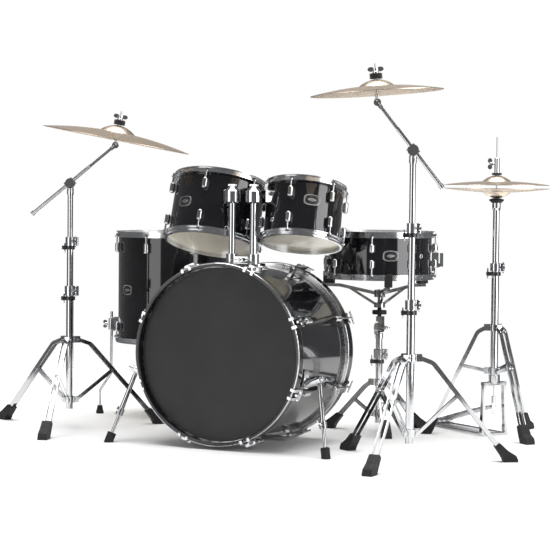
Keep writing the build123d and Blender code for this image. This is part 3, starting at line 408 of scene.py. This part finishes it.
def felt():
    """Black pressed felt with loose fibres."""
    finish = Finish("black_felt", {"Roughness": 0.95, "Sheen Weight": 0.5,
                                   "Sheen Roughness": 0.5, "Specular IOR Level": 0.1})
    fibres = finish.noise(850, 6, rough=0.8)
    finish.colour(fibres, (0.3, (0.006, 0.006, 0.007)), (0.7, (0.035, 0.035, 0.037)))
    return finish.bump(fibres, 0.0008, 0.8).material


def bronze(name, line, deep, pale):
    """Turned bronze: lathe grooves in rings, with tone rings and a few smudges."""
    finish = Finish(name, {"Metallic": 1.0})
    radius = finish.radius(line)
    rings = finish.node("ShaderNodeCombineXYZ")
    finish.join(radius, rings.inputs[0])
    broad = finish.noise(150, 3, rings.outputs[0])
    fine = finish.noise(900, 2, rings.outputs[0])
    smudge = finish.noise(5, 4)
    tone = finish.math("ADD", finish.math("MULTIPLY", broad, 0.6),
                       finish.math("MULTIPLY", smudge, 0.4))
    finish.colour(tone, (0.3, deep), (0.7, pale))
    finish.roughness(tone, 0.42, 0.30)
    return finish.bump(fine, 0.00025, 0.55).material


def knurled_steel():
    """Dark plated rod with a coarse, knurl-like grain."""
    finish = Finish("knurled_steel", {"Metallic": 1.0})
    cross = finish.noise(420, 2)
    finish.colour(cross, (0.35, (0.10, 0.10, 0.11)), (0.7, (0.34, 0.34, 0.36)))
    finish.roughness(cross, 0.25, 0.45)
    return finish.bump(cross, 0.0006, 0.8).material


def brushed(name, shade, low, high):
    """Satin metal, for flesh hoops, castings and badges."""
    finish = Finish(name, {"Metallic": 1.0})
    finish.colour(finish.noise(60, 3), (0.3, (shade * 0.9,) * 3), (0.7, (shade,) * 3))
    finish.roughness(finish.noise(120, 4), low, high)
    return finish.bump(finish.noise(300, 2), 0.00004, 0.3).material


COIL_PITCH = 2.4 * MM


def coiled_wire(line):
    """Bright wire, the turns of each strand drawn as relief, with painted shade in the grooves
    between turns and a painted highlight on each crest.
    """
    finish = Finish("coiled_wire", {"Metallic": 1.0})
    along = finish.vector_math("DOT_PRODUCT", finish.place(), line).outputs["Value"]
    coils = finish.math("SINE", finish.math("MULTIPLY", along, math.tau / COIL_PITCH))
    # Painted shade and highlight: the colour follows the relief of the turns, dark between them and
    # bright on their crests.
    finish.colour(coils, (0.2, (0.42, 0.42, 0.43)), (0.7, (0.80, 0.80, 0.81)))
    finish.roughness(finish.noise(120, 4), 0.16, 0.3)
    return finish.bump(coils, 0.0006, 0.8).material


def grip_plate():
    """Satin cast alloy, with raised cross ribs, painted darker in the grooves between them and
    lighter on their tops: painted shade and highlight.
    """
    finish = Finish("grip_plate", {"Metallic": 1.0})
    ribs = finish.node("ShaderNodeTexWave", wave_type="BANDS", bands_direction="DIAGONAL")
    finish.join(finish.place(), ribs.inputs["Vector"])
    for socket, value in (("Scale", 22.0), ("Distortion", 0.4), ("Detail", 1.0)):
        ribs.inputs[socket].default_value = value
    # Painted shade and highlight: the colour follows the rib relief, dark in the grooves and light
    # on the raised tops.
    finish.colour(ribs.outputs["Fac"], (0.3, (0.26, 0.26, 0.27)), (0.7, (0.52, 0.52, 0.54)))
    finish.roughness(finish.noise(90, 4), 0.3, 0.45)
    return finish.bump(ribs.outputs["Fac"], 0.0008, 0.6).material


def dark_enamel_and_vent_shade():
    """Black painted collars and badge grounds, and the painted shade that fills the vent holes."""
    finish = Finish("dark_enamel_and_vent_shade", {"Coat Weight": 0.3, "Coat Roughness": 0.1})
    finish.colour(finish.noise(40, 3), (0.3, (0.010, 0.010, 0.013)), (0.7, (0.022, 0.022, 0.027)))
    finish.roughness(finish.noise(70, 3), 0.22, 0.36)
    return finish.bump(finish.noise(260, 2), 0.00005, 0.3).material


def floor_paint():
    """Matt white studio floor."""
    finish = Finish("floor_paint", {"Specular IOR Level": 0.2})
    finish.colour(finish.noise(0.8, 3), (0.3, (0.86, 0.86, 0.86)), (0.7, (0.89, 0.89, 0.89)))
    return finish.roughness(finish.noise(2, 2), 0.6, 0.75).material


BLACK = lacquer()
CHROME = chrome()
# Painted light: the drum hoops get a lighter copy of the chrome, 0.68 against 0.60, for the light
# they catch; their wider gloss is roughness.
HOOP_CHROME_PAINTED_LIGHTER = chrome("hoop_chrome_painted_lighter", 0.68, 0.13, 0.24)
DARK_CHROME = chrome("dark_chrome", 0.34, 0.07, 0.16)
WOOD = wood()
COATED = coated_head()
CLEAR = clear_head()
CHARCOAL = front_head()
RUBBER = rubber()
FELT = felt()
KNURL = knurled_steel()
ALLOY = brushed("satin_alloy", 0.72, 0.22, 0.36)
CAST = brushed("cast_chrome", 0.86, 0.24, 0.38)
BADGE_METAL = brushed("badge_metal", 0.34, 0.3, 0.45)
ENAMEL_AND_VENT_SHADE = dark_enamel_and_vent_shade()


# ---------------------------------------------------------------- finishes on the CAD nodes

def paint(node, *layers):
    """Materials on a CAD node's faces: the first covers all, each later one where its mask says."""
    mesh = NODES[node].data
    mesh.materials.clear()
    index = np.zeros(len(mesh.polygons), np.int32)
    for number, layer in enumerate(layers):
        material, mask = layer if isinstance(layer, tuple) else (layer, None)
        mesh.materials.append(material)
        if mask is not None:
            index[mask] = number
    mesh.polygons.foreach_set("material_index", index)


def paint_shell(name, drum):
    """Black outside, bare ply inside and on the bearing edges."""
    node = name + "_shell"
    radius, height = drum.local(face_places(node))
    inside = (radius < drum.radius - 0.5 * MM) & (np.abs(height) < drum.half + MM)
    bracket = radius > drum.radius + MM
    paint(node, BLACK, (WOOD, inside), (CHROME, bracket))


def paint_heads(name, drum, top, low):
    """The film of each head, and the alloy hoop that holds it."""
    node = name + "_heads"
    radius, height = drum.local(face_places(node))
    paint(node, top, (low, height < 0), (ALLOY, radius > drum.radius + 0.8 * MM))


for name, drum in DRUMS.items():
    paint_shell(name, drum)
    paint_heads(name, drum, COATED, CLEAR)
    paint(name + "_hoops", HOOP_CHROME_PAINTED_LIGHTER)
    paint(name + "_lugs", CHROME)
paint_shell("bass", BASS)
paint_heads("bass", BASS, CHARCOAL, COATED)
rims, reaches = BASS.local([v.co for v in NODES["bass_hoops"].data.vertices])
reaches = np.abs(reaches)
paint("bass_hoops", inlaid_hoop(BASS, reaches.min(), reaches.max(), rims.max()))
for node in ("bass_lugs", "bass_claws", "bass_tension_rods", "spur_brackets", "tom_holder_base",
             "left_tom_post", "right_tom_post", "left_tom_arm", "right_tom_arm",
             "floor_tom_leg_brackets", "stand_legs", "stand_braces", "stand_base_tubes",
             "snare_strainer", "snare_lever", "snare_stand_upper", "hihat_frame", "hihat_rod"):
    paint(node, CHROME)
for node in ("stand_feet", "snare_grips"):
    paint(node, RUBBER)
paint("hihat_footboard", grip_plate())

STRAND_TURN = math.radians(36.5)       # the strands run from the throw-off to the butt plate
paint("snare_wires", coiled_wire((math.cos(STRAND_TURN), math.sin(STRAND_TURN), 0)))

SPUR_TIP_TOP = 36 * MM
FLOOR_FOOT_TOP = 30.2 * MM
for node in ("left_spur", "right_spur"):
    paint(node, CHROME, (RUBBER, face_heights(node) < SPUR_TIP_TOP))
paint("floor_tom_legs", CHROME, (RUBBER, face_heights("floor_tom_legs") < FLOOR_FOOT_TOP))

for name in CYMBALS:
    paint(name, bronze(name + "_bronze", CYMBALS[name], (0.58, 0.45, 0.33), (0.93, 0.82, 0.69)))

# From here to the clutch, sizes and heights above the floor are in millimetres.
STAND_AXES = {"left": (-651, -122), "right": (697, -324),              # X and Y of each upright
              "snare": (330.4, 315.1), "hihat": (717.4, 408.4)}
COLLAR_REACH = 45              # a stand's collars lie nearer to its axis than this
LOCK_HEIGHT = 13
BASE_LOCKS = {"left": 443, "right": 454, "snare": 236, "hihat": 547}   # memory locks' undersides
MID_LOCKS = {"left": 619, "right": 692}
TILTER_CASTING = 46            # the casting at the top of an upper tube
BOOM_ROD_RADIUS = 5.2          # only the boom's knurled rod is as thin
SLEEVE_RADIUS = 5.7            # of the sleeve that a cymbal and its felts sit on
FELTS_BELOW, FELTS_ABOVE = 12.4, 19.4  # how far the felts reach from the top of the bell
BASKET_NUT = (405.5, 420.5)    # the snare basket's round nut
HIHAT_SEAT = 16.1              # the seat at the top of the hi-hat's upper tube
CLUTCH_ROD_RADIUS = 6.2
CLUTCH_FELTS = ((880.2, 886.1), (889.3, 897.1))


def off_axis(places, stand):
    """How far places lie from a stand's axis, in metres."""
    return np.linalg.norm(places[:, :2] - np.array(STAND_AXES[stand]) * MM, axis=1)


def between(heights, low, high):
    """Which heights lie between two, given in millimetres."""
    return (heights > low * MM) & (heights < high * MM)


def lock_mask(places, stand, low):
    """Which places belong to the memory lock whose underside is at a height."""
    near = off_axis(places, stand) < COLLAR_REACH * MM
    return near & between(places[:, 2], low, low + LOCK_HEIGHT)


collar_places = face_places("stand_collars")
locks = [lock_mask(collar_places, stand, low) for stand, low in BASE_LOCKS.items()]
paint("stand_collars", CHROME, (ENAMEL_AND_VENT_SHADE, np.any(locks, axis=0)))
for side, low in MID_LOCKS.items():
    tube = side + "_stand_mid_tube"
    paint(tube, CHROME, (ENAMEL_AND_VENT_SHADE, lock_mask(face_places(tube), side, low)))
    upper = side + "_stand_upper_tube"
    casting_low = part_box(upper)[1].z - TILTER_CASTING * MM
    paint(upper, CHROME, (CAST, face_heights(upper) > casting_low))
    boom = side + "_boom"
    radius, height = Round(boom, (0, 0, 1)).local(face_places(boom))
    paint(boom, CHROME, (KNURL, (radius < BOOM_ROD_RADIUS * MM) & (height > 0)))


def paint_tilter(side, cymbal):
    """Chrome, with black felt either side of the cymbal."""
    node = side + "_tilter"
    line = CYMBALS[cymbal]
    top = line.local([v.co for v in NODES[cymbal].data.vertices])[1].max()
    radius, height = line.local(face_places(node))
    beside = (height > top - FELTS_BELOW * MM) & (height < top + FELTS_ABOVE * MM)
    paint(node, CHROME, (FELT, (radius > SLEEVE_RADIUS * MM) & beside))


paint_tilter("left", "ride_cymbal")
paint_tilter("right", "crash_cymbal")

paint("snare_basket", DARK_CHROME, (RUBBER, between(face_heights("snare_basket"), *BASKET_NUT)))
seat_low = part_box("hihat_upper_tube")[1].z - HIHAT_SEAT * MM
paint("hihat_upper_tube", CHROME, (RUBBER, face_heights("hihat_upper_tube") > seat_low))
clutch_places = face_places("hihat_clutch")
off_rod = off_axis(clutch_places, "hihat") > CLUTCH_ROD_RADIUS * MM
clutch_felts = [between(clutch_places[:, 2], low, high) for low, high in CLUTCH_FELTS]
paint("hihat_clutch", CHROME, (FELT, off_rod & np.any(clutch_felts, axis=0)))


# ---------------------------------------------------------------- pieces on the shells

BADGE_HALF = (27.5, 18)        # half width and half height, in millimetres
BADGE_BOW = 4                  # how far its long edges fall away towards the corners
BADGE_POWER = 5                # high, for nearly square corners
LOZENGE_HALF = (15, 5.5)
LOZENGE_POWER = 1.3


def rounded(turn, power):
    """A superellipse's outline, one unit across and up from its middle."""
    across, up = math.cos(turn), math.sin(turn)
    reach = (abs(across) ** power + abs(up) ** power) ** (-1 / power)
    return across * reach, up * reach


def bowed(turn):
    """A badge's outline: nearly square-cornered, with bowed long edges."""
    across, up = rounded(turn, BADGE_POWER)
    return across * BADGE_HALF[0], up * (BADGE_HALF[1] - BADGE_BOW * across * across)


def lozenge(turn):
    """The outline of the raised mark on a badge."""
    across, up = rounded(turn, LOZENGE_POWER)
    return across * LOZENGE_HALF[0], up * LOZENGE_HALF[1]


def ring(turn):
    """A circle's outline."""
    return math.cos(turn), math.sin(turn)


AROUND = 64                    # points round a badge's or grommet's outline


def on_shell(name, drum, angle, height, body, layers):
    """A plaque that follows a shell's curve. Each layer is an outline, its rings and its material.

    A ring is a scale of the outline and a lift off the shell, in millimetres. The last one is
    closed.
    """
    shape = bmesh.new()
    materials = []
    for outline, rings, material in layers:
        if material not in materials:
            materials.append(material)
        rows = []
        for scale, lift in rings:
            row = []
            for step in range(AROUND):
                across, up = outline(math.tau * step / AROUND)
                radius = drum.radius + lift * MM
                turn = angle + math.degrees(across * scale * MM / drum.radius)
                place = drum.point(radius, turn, (height + up * scale) * MM)
                row.append(shape.verts.new(place))
            rows.append(row)
        faces = [shape.faces.new((one[i], one[(i + 1) % AROUND], two[(i + 1) % AROUND], two[i]))
                 for one, two in zip(rows, rows[1:]) for i in range(AROUND)]
        faces.append(shape.faces.new(rows[-1]))
        for face in faces:
            face.material_index = materials.index(material)
            face.smooth = len(face.verts) == 4
    mesh = bpy.data.meshes.new(name)
    shape.to_mesh(mesh)
    shape.free()
    for material in materials:
        mesh.materials.append(material)
    piece = add_object(name, mesh)
    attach(piece, body)


BADGE = ((bowed, ((1, -1.5), (1, 1.0), (0.97, 1.5), (0.9, 1.6), (0.87, 0.9)), BADGE_METAL),
         (bowed, ((0.89, 0.8), (0.6, 0.95), (0.3, 1.0), (0.02, 1.0)), ENAMEL_AND_VENT_SHADE),
         (lozenge, ((1, 0.6), (0.96, 1.5), (0.8, 1.7), (0.4, 1.75), (0.02, 1.75)), BADGE_METAL))
# A vent: a chrome grommet round a flat dark disc, which is painted shade standing in for the open
# hole into the shell.
GROMMET = ((ring, ((8.0, -1), (7.9, 0.8), (7.0, 1.7), (5.8, 1.9), (4.8, 1.2), (4.5, 0.3)),
            CHROME),
           (ring, ((4.6, 0.35), (2.0, 0.3), (0.2, 0.3)), ENAMEL_AND_VENT_SHADE))

# Each drum and its body, then its badge's and its vent's angle (degrees) and height from the
# shell's middle (millimetres).
TRIM = (("left_tom", "left_tom", (-109, -4), (-46.5, -86)),
        ("right_tom", "right_tom", (-54.5, 21), (-118, -43)),
        ("floor_tom", "kit", (-117.5, -8), (12, 0)),
        ("snare", "snare", (-56, 2), (-16, 0)))

for name, body, badge_at, vent_at in TRIM:
    on_shell(name + "_badge", DRUMS[name], *badge_at, body, BADGE)
    on_shell(name + "_vent", DRUMS[name], *vent_at, body, GROMMET)

camera()
studio()
floor()
